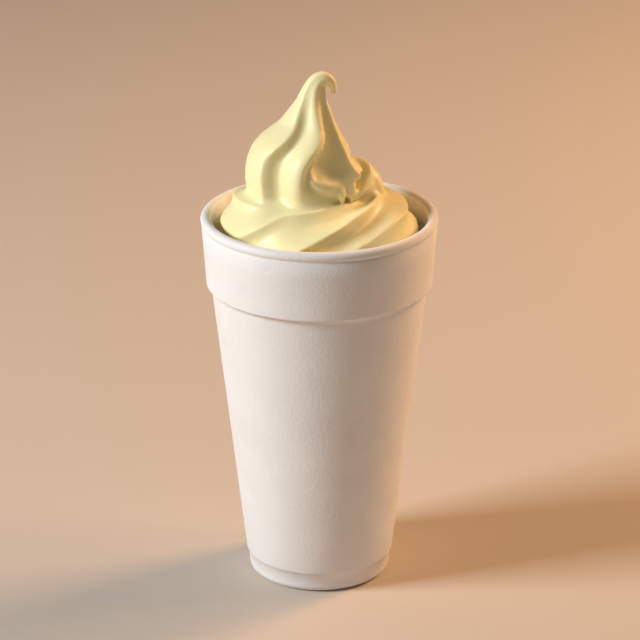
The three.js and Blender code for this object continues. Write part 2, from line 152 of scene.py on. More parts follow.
def ridged(low, high, angle, crisp_low, crisp_high):
    """Distance out to the surface between two crests of (angle, reach, depth, groove place)."""
    low_angle, low_reach, depth, groove = low[:4]
    high_angle, high_reach = high[:2]
    u = between((angle - low_angle) / (high_angle - low_angle))
    bottom = blend(low_reach, high_reach, groove) - depth
    if u < groove:
        return blend(low_reach, bottom, fall(u / groove, crisp_low))
    return blend(high_reach, bottom, fall((1 - u) / (1 - groove), crisp_high))


print("reach in a groove:", ridged((0, 20, 3, 0.5), (40, 20, 3, 0.5), 20, 1, 1))

# %% [markdown]
# Every body of the swirl is a tube that was rolled from a flat grid. The grid is one bmesh operator,
# each of its points is then placed by a rule, and the two edges that meet are merged. The open ends
# are filled. That keeps the way of making the same for the coil, the lobe and the small loose bits.
# Sculpting would be the usual way by hand, but a rule can be read, measured and changed later.

# %% Roll a grid into a closed tube
TOUCHING = 1e-5


def rolled(bm, round_steps, long_steps, place):
    """A closed tube in bm. place(u, w) gives the point u of the way round and w of the way along."""
    made = bmesh.ops.create_grid(bm, x_segments=round_steps, y_segments=long_steps, size=0.5)
    points = made["verts"]
    for point in points:
        u = round((point.co.x + 0.5) * round_steps)
        w = round((point.co.y + 0.5) * long_steps)
        point.co = place((u % round_steps) / round_steps, w / long_steps)
    bmesh.ops.remove_doubles(bm, verts=points, dist=TOUCHING)
    points = [v for v in points if v.is_valid]
    rims = [e for v in points for e in v.link_edges if e.is_boundary]
    bmesh.ops.holes_fill(bm, edges=list(set(rims)), sides=0)
    print("rolled a tube of", long_steps + 1, "rings with", round_steps, "points each")


# %% [markdown]
# A finished piece is an object at the origin, unturned and unscaled, with its place in its mesh. The
# normals are worked out anew first, as rolling and spinning can turn a shape inside out.


# %% Finish a piece
def finished(name, bm, smooth=True):
    """The bmesh as an object in metres, at the origin, with its faces pointing out."""
    bmesh.ops.recalc_face_normals(bm, faces=bm.faces)
    bmesh.ops.transform(bm, matrix=Matrix.Scale(MM, 4), verts=bm.verts)
    mesh = bpy.data.meshes.new(name)
    bm.to_mesh(mesh)
    bm.free()
    if smooth:
        mesh.shade_smooth()
    else:
        mesh.shade_flat()
    piece = bpy.data.objects.new(name, mesh)
    bpy.context.scene.collection.objects.link(piece)
    print(name, "has", len(mesh.polygons), "faces")
    return piece


# %% [markdown]
# The coil fills the mouth of the cup. Seen in a slice through the cup's axis it is the outer half of a
# rope, round about a middle that lies half way out. Its ridges don't run level: each one comes up out
# of the cup at the front, climbs over the rope as it goes round to the right, and after one turn it
# lies on top. Each crest below is a few stations of that climb, and it goes on past one full turn,
# where it lies on the turn below. The step that this leaves at the front is the real coil's overlap.

# %% The coil's sizes
ROPE_RADIUS = 21.0
ROPE_HEIGHT = 140.0
CROWN_HEIGHT = 158.0
CONTACT_HEIGHT = 124.0
CUT_HEIGHT = 117.0
FIRST_AZIMUTH = -55.0
COIL_GROOVE = 0.62
COIL_CRISPNESS = 0.82
# Stations of (azimuth round the cup, angle round the rope, reach, depth of the groove above it).
COIL_CRESTS = [
    [(60, -60, 14, 2), (90, -40, 15, 2), (180, -30, 16, 2.4), (270, -22, 16, 2.4), (305, -18, 16, 2.4)],
    [(-55, -18, 16, 2.4), (-29, 6, 17.5, 2.6), (-4, 33, 18.6, 3.2), (1, 38.6, 18.7, 3.2),
     (8, 45.6, 18.8, 3.6), (17, 54, 18.8, 3.8), (26, 63, 18.8, 3.6), (37, 70, 18.8, 3),
     (50, 77, 18.9, 2.6), (66, 82.5, 19.2, 2), (80, 87, 19.8, 2), (110, 95, 19.6, 2.4),
     (180, 98, 19, 2.6), (270, 100, 20, 2), (330, 108, 18, 1), (400, 125, 16, 1)],
    [(-55, -50, 14, 2), (0, -8, 17, 2.6), (24, 25, 18.6, 3.2), (31, 29, 18.6, 3.4),
     (38, 34, 18.6, 3.4), (48, 40, 18.8, 3.2), (62, 44, 18.8, 2.6), (77, 43, 18.8, 2.4),
     (90, 43, 18.4, 2.4), (120, 44, 18.4, 2.6), (180, 46, 18.8, 2.6), (235, 50.5, 19.2, 2),
     (255, 53, 20.6, 1.6), (270, 55, 21.5, 1.2), (290, 59, 21, 0.9), (305, 67, 19.8, 0.7),
     (320, 83, 18.5, 0.6), (340, 103, 17, 0.6), (380, 116, 16, 1), (440, 125, 15, 1)],
    [(20, -55, 14, 2), (50, -20, 16, 2.6), (70, 2, 17.8, 2.8), (90, 17, 18.1, 2.8),
     (130, 20, 16.6, 2.6), (180, 22, 16, 2.6), (220, 22, 16.6, 2.4), (270, 22, 18.8, 1.8),
     (300, 22, 17.8, 1.4), (307, 26, 18, 1), (314, 36, 18.2, 0.5), (320, 47, 18.2, 0.4),
     (325, 57, 18.3, 0.4), (331, 68, 18.4, 0.6), (344, 78, 18.4, 1), (356, 86, 18.4, 1.6),
     (363, 91, 18.5, 1.6), (374, 97, 18.8, 1.2), (390, 100, 19.2, 1), (410, 104, 19.2, 1),
     (450, 110, 17, 1)],
]
# Plain low crests that stand below the first ridge and past the last one in every slice.
PLAIN_BELOW = (-90, 14, 0.5, COIL_GROOVE)
PLAIN_BEYOND = (200, 14, 0, 0.5)
print(len(COIL_CRESTS), "crests wind round the coil")


# %% One slice of the coil
def crests_round_rope(azimuth):
    """The crests that a slice at this azimuth cuts, from the outside of the rope to its top."""
    crests = [PLAIN_BELOW, PLAIN_BEYOND]
    for rows in COIL_CRESTS:
        for turn in (azimuth, azimuth + 360):
            if rows[0][0] <= turn < rows[-1][0]:
                angle, reach, depth = (through(rows, turn, column) for column in (1, 2, 3))
                crests.append((angle, reach, depth, COIL_GROOVE))
    return sorted(crests)


def coil_slice(azimuth, angles):
    """The rope's outline in one slice, as radius and height at each angle round the rope."""
    crests = crests_round_rope(azimuth)
    outline = []
    i = 0
    for angle in angles:
        while i < len(crests) - 2 and angle > crests[i + 1][0]:
            i += 1
        out = ridged(crests[i], crests[i + 1], angle, COIL_CRISPNESS, COIL_CRISPNESS)
        turned = math.radians(angle)
        outline.append((ROPE_RADIUS + out * math.cos(turned), ROPE_HEIGHT + out * math.sin(turned)))
    return outline


print("the front slice cuts", len(crests_round_rope(0)) - 2, "ridges")

# %% [markdown]
# The coil is a tube whose rings are the slices' points, so it goes round the cup's axis and not along
# the rope. A screw or a swept curve would make a plain coil sooner, but its ridges could not climb.
# Below the rope the tube goes on down the cup's wall, and the lowest part is cut off later.

# %% The coil
COIL_SLICES = 400
WALL_ANGLE = -37
CROWN_ANGLE = 117
ROPE_POINTS = 131
COIL_FOOT = [(10, CUT_HEIGHT - 4), (38.5, CUT_HEIGHT - 4), (39.2, CUT_HEIGHT), (39.9, CONTACT_HEIGHT)]
COIL_HEAD = [(8, CROWN_HEIGHT - 0.6), (1, CROWN_HEIGHT)]


def add_coil(bm):
    """The coil as a rolled tube: its slices go round, its outline goes from the wall to the top."""
    angles = [blend(WALL_ANGLE, CROWN_ANGLE, k / (ROPE_POINTS - 1)) for k in range(ROPE_POINTS)]
    slices = {}
    long_steps = len(COIL_FOOT) + len(angles) + len(COIL_HEAD) - 1

    def place(u, w):
        azimuth = FIRST_AZIMUTH + 360 * u
        if azimuth not in slices:
            slices[azimuth] = COIL_FOOT + coil_slice(azimuth, angles) + COIL_HEAD
        radius, height = slices[azimuth][round(w * long_steps)]
        return on_circle(radius, azimuth, height)

    rolled(bm, COIL_SLICES, long_steps, place)


print("a slice has", len(COIL_FOOT) + ROPE_POINTS + len(COIL_HEAD), "points and there are", COIL_SLICES)

# %% [markdown]
# The lobe is the rope's free end. The hand that holds the cup drops it, the rope stretches, and its
# end is drawn to a tip that is too thin to stand, so it hooks over. Its middle line leans and bends,
# and its crests wander round it: they lean right near the tip, sweep left over the belly, and turn
# right again at the foot. One crest on the right stands far out and leaves a deep hollow beside it.

# %% The lobe's middle line
# Stations of (way along, x, y, z of the middle, radius). The way is the height up to the neck.
LOBE = [
    (146, -5.0, 3.0, 146.0, 12.0),
    (152, -6.4, 2.0, 152.0, 15.5),
    (156, -7.2, 1.2, 156.0, 18.4),
    (159, -7.6, 0.6, 159.0, 19.9),
    (162, -7.9, 0.2, 162.0, 20.5),
    (166.5, -8.0, 0.0, 166.5, 20.6),
    (170, -8.0, 0.0, 170.0, 20.3),
    (173.6, -7.8, 0.0, 173.6, 19.5),
    (177, -7.2, 0.0, 177.0, 18.6),
    (180.6, -6.1, 0.0, 180.6, 16.9),
    (184, -5.0, 0.0, 184.0, 14.0),
    (187, -4.3, 0.0, 187.0, 11.1),
    (191.2, -3.7, 0.0, 191.2, 8.4),
    (195, -3.1, 0.0, 195.0, 6.2),
    (199.4, -2.2, 0.0, 199.4, 4.5),
    (203.2, -0.5, 0.0, 202.8, 3.4),
    (206.4, 2.0, 0.0, 203.9, 2.7),
    (209.4, 4.4, 0.0, 202.4, 1.95),
    (212, 5.25, 0.0, 200.2, 1.4),
    (213.6, 5.4, 0.0, 198.7, 1.1),
    (214.5, 5.35, 0.0, 197.8, 0.8),
    (214.9, 5.3, 0.0, 197.5, 0.35),
]
# Where the rings stop being level, and where the ridges fade towards the tip, as ways along.
LEVEL_TO = 195
SQUARE_FROM = 204
FADE_FROM = 203
FADE_TO = 211


def lobe_middle(way):
    """The lobe's middle line at a way along it."""
    return Vector([through(LOBE, way, column) for column in (1, 2, 3)])


print("the lobe leans to", tuple(lobe_middle(170)), "and its tip is at", tuple(lobe_middle(214.9)))

# %% The lobe's crests
# Crests as (groove place, crispness of the fall after it and of the rise to the next crest,
# stations of (way, azimuth, reach, depth of the groove after it)). Reach 1 is the lobe's own radius,
# and depths are shares of it.
LOBE_CRESTS = {
    "behind left": (0.5, 0.5, 0.1, [
        (146, -110, 2.1, 0.08), (150, -118, 1.8, 0.08), (154, -128, 1.4, 0.1), (155.5, -132, 1.3, 0.11),
        (156.5, -135, 1.2, 0.12), (157.5, -138, 1.1, 0.14), (159, -141, 1.03, 0.15),
        (161, -145, 1.0, 0.16), (170, -150, 1, 0.16), (185, -148, 1, 0.16), (200, -140, 1, 0.12)]),
    "far left": (0.5, 0, 0, [
        (146, -66, 2.1, 0.02), (150, -70, 1.75, 0.02), (154, -78, 1.38, 0.02), (155.5, -82, 1.25, 0.02),
        (156.5, -85, 1.14, 0.02), (157.5, -87, 1.05, 0.02), (158.5, -90, 1.0, 0.02),
        (161, -93, 1.0, 0.02), (170, -96, 1, 0.02), (185, -102, 1, 0.02), (200, -98, 1, 0.02)]),
    "left": (0.34, 0.4, 0, [
        (146, -14, 2.2, 0.04), (150, -20, 1.9, 0.05), (154, -27, 1.52, 0.08), (155.5, -30, 1.42, 0.1),
        (156.5, -32, 1.34, 0.12), (157.5, -35, 1.2, 0.14), (159, -38, 1.08, 0.17),
        (161, -41, 1.03, 0.2), (164, -43, 1, 0.22), (168, -44, 1, 0.24), (172, -45, 1, 0.25),
        (176, -44, 1, 0.26), (179.5, -38, 1, 0.27), (183, -31, 1, 0.28), (186.2, -29, 1, 0.28),
        (189.5, -31, 1, 0.26), (193, -35, 1, 0.24), (196.4, -40, 1, 0.2), (200, -45, 1, 0.16)]),
    "middle": (0.62, 0, 0.1, [
        (146, 12, 2.0, 0), (150, 10, 1.75, 0), (154, 8, 1.44, 0), (156, 8, 1.27, 0),
        (158, 7, 1.12, 0), (159.5, 5, 1.04, 0), (161, 4, 1.02, 0.03), (163, 3, 1.02, 0.05),
        (166.9, 2, 1.03, 0.07), (170.3, 3, 1.03, 0.06), (174, 6, 1.03, 0.06), (177.3, 11, 1.02, 0.06),
        (181, 19, 1.02, 0.07), (184.4, 24, 1.02, 0.08), (188.8, 25, 1.02, 0.07),
        (194.8, 18, 1.02, 0.06), (200.5, 12, 1.02, 0.05)]),
    "edge of the hollow": (0.42, 0.3, 0, [
        (146, 74, 1.9, 0), (150, 78, 1.65, 0), (154, 82, 1.35, 0), (156, 84, 1.2, 0),
        (158, 82, 1.06, 0), (159.5, 72, 1.0, 0), (160.8, 58, 1.01, 0), (162.2, 47, 1.03, 0),
        (163.7, 38, 1.04, 0), (165.8, 25, 1.02, 0), (168.8, 16, 1.0, 0), (170, 15, 0.98, 0.04),
        (171.2, 14, 0.97, 0.1), (173.4, 15, 0.96, 0.16), (176.4, 20, 0.96, 0.2),
        (179.7, 27, 0.96, 0.22), (183.2, 33, 0.95, 0.23), (186.6, 36, 0.94, 0.23),
        (190.4, 36, 0.94, 0.23), (195.3, 31, 0.95, 0.22), (200, 25, 0.96, 0.2)]),
    "floor of the hollow": (0, 0, 0.6, [
        (146, 88, 1.8, 0), (150, 92, 1.6, 0), (154, 94, 1.3, 0), (156, 94, 1.14, 0),
        (158, 90, 1.03, 0), (159.5, 80, 1.0, 0), (160.8, 70, 1.02, 0), (162.2, 60, 1.06, 0),
        (163.7, 53, 1.07, 0), (165.2, 48, 1.06, 0), (166.6, 44, 1.02, 0), (167.8, 41, 0.95, 0),
        (169.0, 39, 0.87, 0), (170.4, 37, 0.8, 0), (172.4, 36, 0.74, 0), (175, 37, 0.7, 0),
        (178, 42, 0.71, 0), (183, 47, 0.74, 0), (188, 49, 0.78, 0), (196, 46, 0.84, 0)]),
    "sail": (0.4, 0.8, 0.3, [
        (155, 108, 0.88, 0.04), (158, 104, 0.9, 0.04), (160, 92, 0.95, 0.05), (162, 76, 1.03, 0.06),
        (163.5, 68, 1.07, 0.08), (165, 67, 1.12, 0.1), (166.2, 68, 1.19, 0.1), (167.4, 68, 1.27, 0.1),
        (168.5, 67, 1.28, 0.1), (170.9, 65, 1.2, 0.08), (174.3, 63, 1.12, 0.06), (178, 62, 1.05, 0.05),
        (182.3, 61, 0.99, 0.05), (187.4, 61, 1.06, 0.05), (191.7, 63, 1.1, 0.05),
        (195.6, 66, 1.1, 0.05), (200, 67, 1.12, 0.05)]),
    "behind the sail": (0.5, 0.6, 0.2, [
        (155, 128, 1.1, 0.1), (160, 112, 0.98, 0.1), (163, 94, 0.96, 0.1), (164.5, 88, 1.06, 0.1),
        (165.8, 88, 1.22, 0.1), (167.5, 92, 1.25, 0.1), (169.5, 97, 1.12, 0.1), (171.3, 99, 1.0, 0.1),
        (173.7, 99, 1.0, 0.12), (176.2, 99, 1.0, 0.12), (178.6, 100, 0.93, 0.12),
        (182.4, 100, 0.87, 0.12), (186.2, 100, 0.89, 0.12), (189.9, 100, 0.94, 0.12),
        (200, 100, 1, 0.1)]),
    "back": (0.5, 0.5, 0.2, [
        (146, 196, 1.9, 0.1), (150, 190, 1.7, 0.1), (155, 182, 1.5, 0.12), (156, 180, 1.45, 0.13),
        (157, 178, 1.3, 0.14), (158, 176, 1.15, 0.16), (159, 174, 1.06, 0.16), (162, 168, 1.0, 0.17),
        (170, 158, 1, 0.18), (185, 154, 1, 0.18), (200, 150, 1, 0.12)]),
}
print(len(LOBE_CRESTS), "crests run up the lobe")

# %% [markdown]
# The lobe's rings are level up to the neck, because the ridges were measured at heights. From there
# they turn square to the middle line, so that the thin hook keeps a round section. Every crest gets a
# point of its own in every ring. A ring of evenly spaced points would miss the crests and fray them.

# %% The lobe
POINTS_PER_CREST = 28
LOBE_STEPS = 260


def lobe_ring(way):
    """One ring of the lobe as (azimuth, radius), with a point on every crest."""
    crests = []
    fade = between((way - FADE_FROM) / (FADE_TO - FADE_FROM))
    for groove, crisp_after, crisp_before, rows in LOBE_CRESTS.values():
        angle, reach, depth = (through(rows, way, column) for column in (1, 2, 3))
        reach = blend(reach, 1, fade)
        crests.append((angle, reach, depth * (1 - fade), groove, crisp_after, crisp_before))
    first = crests[0]
    crests.append((first[0] + 360, *first[1:]))
    radius = through(LOBE, way, 4)
    ring = []
    for low, high in zip(crests, crests[1:]):
        for k in range(POINTS_PER_CREST):
            azimuth = blend(low[0], high[0], k / POINTS_PER_CREST)
            ring.append((azimuth, radius * ridged(low, high, azimuth, *low[4:])))
    return ring


def lobe_frame(way):
    """The middle, the right and the front of the ring at a way along the lobe."""
    bend = between((way - LEVEL_TO) / (SQUARE_FROM - LEVEL_TO))
    along = (lobe_middle(way + 0.5) - lobe_middle(way - 0.5)).normalized()
    heading = Vector((0, 0, 1)).lerp(along, bend * bend * (3 - 2 * bend)).normalized()
    right = Vector((heading.z, 0, -heading.x)).normalized()
    return lobe_middle(way), right, right.cross(heading)


def add_lobe(bm):
    """The lobe as a rolled tube of level rings, which turn square to its middle at the hook."""
    round_steps = POINTS_PER_CREST * len(LOBE_CRESTS)
    rings = {}

    def place(u, w):
        if w not in rings:
            way = blend(LOBE[0][0], LOBE[-1][0], w)
            rings[w] = (*lobe_frame(way), lobe_ring(way))
        middle, right, front, ring = rings[w]
        azimuth, out = ring[round(u * round_steps)]
        turned = math.radians(azimuth)
        return middle + right * (out * math.sin(turned)) + front * (out * math.cos(turned))

    rolled(bm, round_steps, LOBE_STEPS, place)


print("a ring of the lobe has", len(lobe_ring(170)), "points")

# %% [markdown]
# Small bits are strands of the same cream. A flat ribbon curls out behind the sail's corner, goes
# down and tucks under the lip, so that it leaves a small hole. A second fold stands behind it. A nub
# ends the ribbon, a little tooth hangs from the lip, and a shoulder carries them all. A curve with a
# bevel could draw them, but its radius scales width and thickness together, and here each has its own.

# %% The strands' sizes
# Stations of (x, y, z, half thickness, half width).
CURL = [
    (12.0, 3.0, 169.6, 1.8, 1.6), (15.6, 2.2, 169.4, 1.9, 1.6), (18.0, 0.6, 168.4, 1.9, 1.6),
    (18.9, -1.8, 166.7, 1.8, 1.6), (18.3, -4.4, 164.8, 1.9, 1.6), (16.9, -7.2, 162.9, 1.8, 1.6),
    (15.3, -9.6, 161.3, 1.6, 1.5), (13.4, -11.2, 160.4, 1.5, 1.4), (11.2, -12.0, 160.6, 1.4, 1.3),
]
FOLD = [
    (8.4, 7.0, 163.8, 3.6, 4.0), (12.8, 6.0, 164.9, 3.8, 5.0), (16.6, 5.0, 164.4, 4.0, 5.4),
    (19.0, 4.0, 162.6, 4.1, 5.4), (20.3, 2.8, 160.2, 4.2, 5.4), (20.9, 1.6, 157.4, 4.2, 5.4),
    (21.0, 0.6, 154.0, 4.2, 5.2), (20.6, 0.0, 150.0, 4.2, 4.6),
]
NUB = [
    (10.6, -8.6, 166.6, 1.6, 1.8), (11.3, -10.3, 165.8, 2.0, 2.3), (11.6, -11.2, 164.2, 2.0, 2.4),
    (11.7, -11.8, 162.4, 2.0, 2.4), (11.6, -12.2, 160.4, 1.6, 2.0),
]
TOOTH = [
    (6.6, -12.0, 164.8, 2.0, 3.0), (7.2, -13.4, 164.0, 2.1, 2.8), (8.0, -14.5, 162.6, 1.9, 2.1),
    (8.4, -15.1, 160.9, 1.4, 1.4), (8.8, -15.4, 159.2, 0.7, 0.7),
]
SHOULDER = [
    (12.5, 4.0, 142.0, 10, 10), (12.5, 4.0, 150.0, 12.5, 12.5), (12.6, 3.6, 156.0, 12.8, 12.8),
    (12.6, 3.6, 159.4, 11.2, 11.2), (12.0, 5.0, 163.0, 7.6, 7.6), (11.2, 6.4, 166.0, 4.4, 4.4),
    (10.8, 7.0, 168.0, 2.0, 2.0), (10.7, 7.0, 168.4, 0.6, 0.6),
]
# Ways that a strand's width can lie.
FACING = Vector((0, -0.7, 0.7))
DEEP = Vector((-0.25, 1.0, 0.1))
ACROSS = Vector((1, 0.3, 0))
# Strands as (stations, way of the width, points round, steps along).
STRANDS = [
    (CURL, FACING, 40, 90),
    (FOLD, DEEP, 40, 90),
    (NUB, ACROSS, 24, 40),
    (TOOTH, ACROSS, 24, 40),
    (SHOULDER, DEEP, 72, 60),
]
print(len(STRANDS), "strands")


# %% A strand
def add_strand(bm, stations, wide_way, round_steps, long_steps):
    """A strand with an oval section whose width lies as near as it can along wide_way."""
    rows = [(i, *station) for i, station in enumerate(stations)]
    end = len(stations) - 1
    times = [end * k / long_steps for k in range(long_steps + 1)]
    middles = [Vector([through(rows, t, column) for column in (1, 2, 3)]) for t in times]
    frames = []
    for k, (t, middle) in enumerate(zip(times, middles)):
        heading = (middles[min(k + 1, long_steps)] - middles[max(k - 1, 0)]).normalized()
        wide = (wide_way - heading * wide_way.dot(heading)).normalized()
        thin = heading.cross(wide)
        frames.append((middle, thin * through(rows, t, 4), wide * through(rows, t, 5)))

    def place(u, w):
        middle, thin, wide = frames[round(w * long_steps)]
        turned = 2 * math.pi * u
        return middle + thin * math.cos(turned) + wide * math.sin(turned)

    rolled(bm, round_steps, long_steps, place)


print("the ribbon has", len(CURL), "stations")

# %% [markdown]
# The bodies still cross each other where they meet, and real cream is one mass. So a voxel remesh
# will turn them into one skin, and two things follow. First the whole skin is smoothed evenly, by
# steps in and out that don't shrink it. Then the creases where the bodies met are filled a little,
# and the crests stay as they are: soft cream flows into a crease but not up onto a crest. Each round
# moves a point towards the middle of its neighbours only where that lies outside the surface. The
# lobe's foot at the front is filled longest, as its weight presses it into the coil there.


# %% A skin's neighbours
def neighbours(mesh):
    """The mesh's edges as pairs of point numbers, and how many edges each point has."""
    pairs = np.zeros(len(mesh.edges) * 2, dtype=np.int64)
    mesh.edges.foreach_get("vertices", pairs)
    pairs = pairs.reshape(-1, 2)
    counts = np.bincount(pairs.ravel(), minlength=len(mesh.vertices))
    print("the skin has", len(counts), "points and", len(pairs), "edges")
    return pairs, counts


def mean_of_neighbours(points, pairs, counts):
    """For each point, the middle of the points that it shares an edge with."""
    total = np.zeros_like(points)
    for column in range(3):
        total[:, column] += np.bincount(pairs[:, 0], points[pairs[:, 1], column], len(points))
        total[:, column] += np.bincount(pairs[:, 1], points[pairs[:, 0], column], len(points))
    return total / counts[:, None]


def vectors_of(mesh, name):
    """The points or the normals of a mesh, as a table with three columns."""
    values = np.zeros(len(mesh.vertices) * 3)
    mesh.vertices.foreach_get(name, values)
    return values.reshape(-1, 3)


# %% Smoothing and filling
SMOOTH_ROUNDS = 9
SMOOTH_IN = 0.5
SMOOTH_OUT = -0.52
FILL_ROUNDS = 14
FILL_SHARE = 0.8
# The lobe's foot is pressed into the coil, so it gets more rounds. It lies within these bounds.
PRESSED_ROUNDS = 60
PRESSED_SHIFT = -3.0
PRESSED_RADIUS = 27.0
PRESSED_TOP = 161.5
PRESSED_RIGHT = 10.0
PRESSED_FADE = 2.5


def smooth_evenly(points, pairs, counts):
    """Smooths the whole skin without shrinking it."""
    for step in range(SMOOTH_ROUNDS):
        weight = SMOOTH_IN if step % 2 == 0 else SMOOTH_OUT
        points += weight * (mean_of_neighbours(points, pairs, counts) - points)


def pressed(points):
    """From 0 to 1, how much each point belongs to the foot of the lobe."""
    from_lobe = np.hypot(points[:, 0] / MM - LOBE[0][1] - PRESSED_SHIFT, points[:, 1] / MM)
    near_enough = np.clip((PRESSED_RADIUS - from_lobe) / PRESSED_FADE, 0, 1)
    low_enough = np.clip((PRESSED_TOP - points[:, 2] / MM) / PRESSED_FADE, 0, 1)
    left_enough = np.clip((PRESSED_RIGHT - points[:, 0] / MM) / PRESSED_FADE, 0, 1)
    return low_enough * left_enough * near_enough


def melt(mesh):
    """Smooths a skin, then fills its creases, and longest round the lobe's foot."""
    pairs, counts = neighbours(mesh)
    points = vectors_of(mesh, "co")
    smooth_evenly(points, pairs, counts)
    mesh.vertices.foreach_set("co", points.ravel())
    foot = pressed(points)
    for step in range(FILL_ROUNDS + PRESSED_ROUNDS):
        mesh.update()
        normals = vectors_of(mesh, "normal")
        shift = mean_of_neighbours(points, pairs, counts) - points
        outward = np.clip((shift * normals).sum(axis=1), 0, None)
        share = FILL_SHARE if step < FILL_ROUNDS else FILL_SHARE * foot
        points += normals * (outward * share)[:, None]
        mesh.vertices.foreach_set("co", points.ravel())
    mesh.update()


print(SMOOTH_ROUNDS, "rounds of smoothing,", FILL_ROUNDS, "of filling and", PRESSED_ROUNDS, "at the foot")

# %% [markdown]
# Now the swirl is put together. The voxels are half a millimetre, which keeps the thin ribbon and the
# tip. A Boolean union would keep the bodies' own points and be finer still, but it leaves knife-sharp
# creases, and the filling needs the even points that a remesh gives.

# %% The swirl in one skin
VOXEL = 0.53


def one_skin(rough):
    """The mesh of rough after a voxel remesh."""
    remesh = rough.modifiers.new("one skin", "REMESH")
    remesh.mode = "VOXEL"
    remesh.voxel_size = VOXEL * MM
    depsgraph = bpy.context.evaluated_depsgraph_get()
    skin = bpy.data.meshes.new_from_object(rough.evaluated_get(depsgraph))
    bpy.data.objects.remove(rough)
    return skin


def cut_off_below(bm, height):
    """Cuts a bmesh in metres at a height, drops what is below and closes the cut."""
    everything = bm.verts[:] + bm.edges[:] + bm.faces[:]
    cut = Vector((0, 0, height * MM))
    bmesh.ops.bisect_plane(bm, geom=everything, plane_co=cut, plane_no=(0, 0, 1), clear_inner=True)
    bmesh.ops.holes_fill(bm, edges=[e for e in bm.edges if e.is_boundary], sides=0)


def make_swirl():
    """The visible soft serve: one skin over the coil, the lobe and the strands."""
    bm = bmesh.new()
    add_coil(bm)
    add_lobe(bm)
    for strand in STRANDS:
        add_strand(bm, *strand)
    skin = one_skin(finished("swirl_bodies", bm))
    melt(skin)
    bm = bmesh.new()
    bm.from_mesh(skin)
    bpy.data.meshes.remove(skin)
    cut_off_below(bm, CUT_HEIGHT)
    bmesh.ops.transform(bm, matrix=Matrix.Scale(1 / MM, 4), verts=bm.verts)
    return finished("swirl", bm)


swirl = make_swirl()

# %% [markdown]
# Below the swirl the cream fills the cup down to its floor. It can't be seen through the foam, but a
# cup that is lifted or cut open in another scene is full, so the fill is there as a plain turned
# shape that reaches just into the swirl above it.

# %% The fill below the swirl
FLOOR_TOP = 6.5
FLOOR_CHAMFER = 2.0
WALL_BREAK = 121.3
INNER_RADIUS = 40.0
BODY_SLOPE = 0.1166
FILL_GAP = 0.1
FILL_OVERLAP = 1.0
FILL_CROWN = 0.6
FILL_SHOULDER = 2.0
FILL_SIDES = 96
TURN_MERGE = 1e-4


def inner_radius(z):
    """Inside of the cup's wall below the collar."""
    return INNER_RADIUS - BODY_SLOPE * (WALL_BREAK - z)


def order_faces(bm):
    """Puts the faces in the order of their points. A spin leaves them in another order each run."""
    bm.verts.index_update()
    in_order = sorted(bm.faces, key=lambda face: sorted(point.index for point in face.verts))
    places = {face: place for place, face in enumerate(in_order)}
    bm.faces.sort(key=lambda face: places[face])


def turned_outline(bm, outline, steps):
    """Spins an outline of (radius, height) once round the cup's axis."""
    chain = [bm.verts.new(on_circle(radius, 0, z)) for radius, z in outline]
    edges = [bm.edges.new(pair) for pair in zip(chain, chain[1:])]
    bmesh.ops.spin(bm, geom=chain + edges, cent=CENTRE, axis=(0, 0, 1), angle=2 * math.pi,
                   steps=steps, use_merge=True)
    bmesh.ops.remove_doubles(bm, verts=bm.verts, dist=TURN_MERGE)
    order_faces(bm)


def make_fill():
    """The cream in the lower cup, from the floor to just inside the swirl."""
    bottom = FLOOR_TOP + FILL_GAP
    corner = FLOOR_CHAMFER + 2 * FILL_GAP
    top = CUT_HEIGHT + FILL_OVERLAP
    bm = bmesh.new()
    outline = [(0, bottom), (inner_radius(FLOOR_TOP) - corner, bottom),
               (inner_radius(FLOOR_TOP + FLOOR_CHAMFER) - FILL_GAP, FLOOR_TOP + corner),
               (inner_radius(top) - FILL_GAP, top),
               (inner_radius(top) - FILL_SHOULDER, top + FILL_CROWN), (0, top + FILL_CROWN)]
    turned_outline(bm, outline, FILL_SIDES)
    return finished("fill", bm)


fill = make_fill()

# %% [markdown]
# The cup is moulded from expanded foam beads, in one piece. Its outside is a slim cone with a thicker
# collar, which is there so that stacked cups come apart, and a round bead for the lip. It is a turned
# shape, so half its outline and one spin make it, and every edge that the mould rounds is an arc in
# the outline. A cylinder with loops and bevels would do too, but then its sizes are harder to read.

# %% The cup's sizes
RIM_HEIGHT = 149.6
LIP_RADIUS = 46.0
LIP_BEAD = 2.0
NECK_INSET = 0.35
NECK_DROP = 2.4
NECK_SHARES = (0.02, 0.35, 0.7, 1)
UNDER_LIP_INSET = 0.7
UNDER_LIP_DROP = 1.95
BODY_TOP_RADIUS = 42.2
BODY_STATIONS = (30, 60, 90, 112, 119, WALL_BREAK - 0.3)
COLLAR_STEP = 1.9
COLLAR_ROUND = 1.0
BAND_HEIGHT = 8.8
BAND_STEP = 0.8
BAND_ROUND = 0.3
FOOT_RADIUS = 25.0
FOOT_ROUND = 3.0
FOOT_FLAT = 3.0
RECESS = 2.0
RECESS_SLOPE = 0.8
LEDGE_HEIGHT = 144.0
MOUTH_SLOPE = 0.062
CUP_SIDES = 256


def body_radius(z):
    """Outside of the cup's body below the collar."""
    return BODY_TOP_RADIUS - BODY_SLOPE * (WALL_BREAK - z)


def arc(radius, z, size, start, end, steps):
    """Points of an arc about (radius, z), between two angles."""
    turns = [math.radians(blend(start, end, k / steps)) for k in range(steps + 1)]
    return [(radius + size * math.cos(turn), z + size * math.sin(turn)) for turn in turns]


print("the cup's body is", 2 * round(body_radius(BAND_HEIGHT), 1), "mm across at the foot")


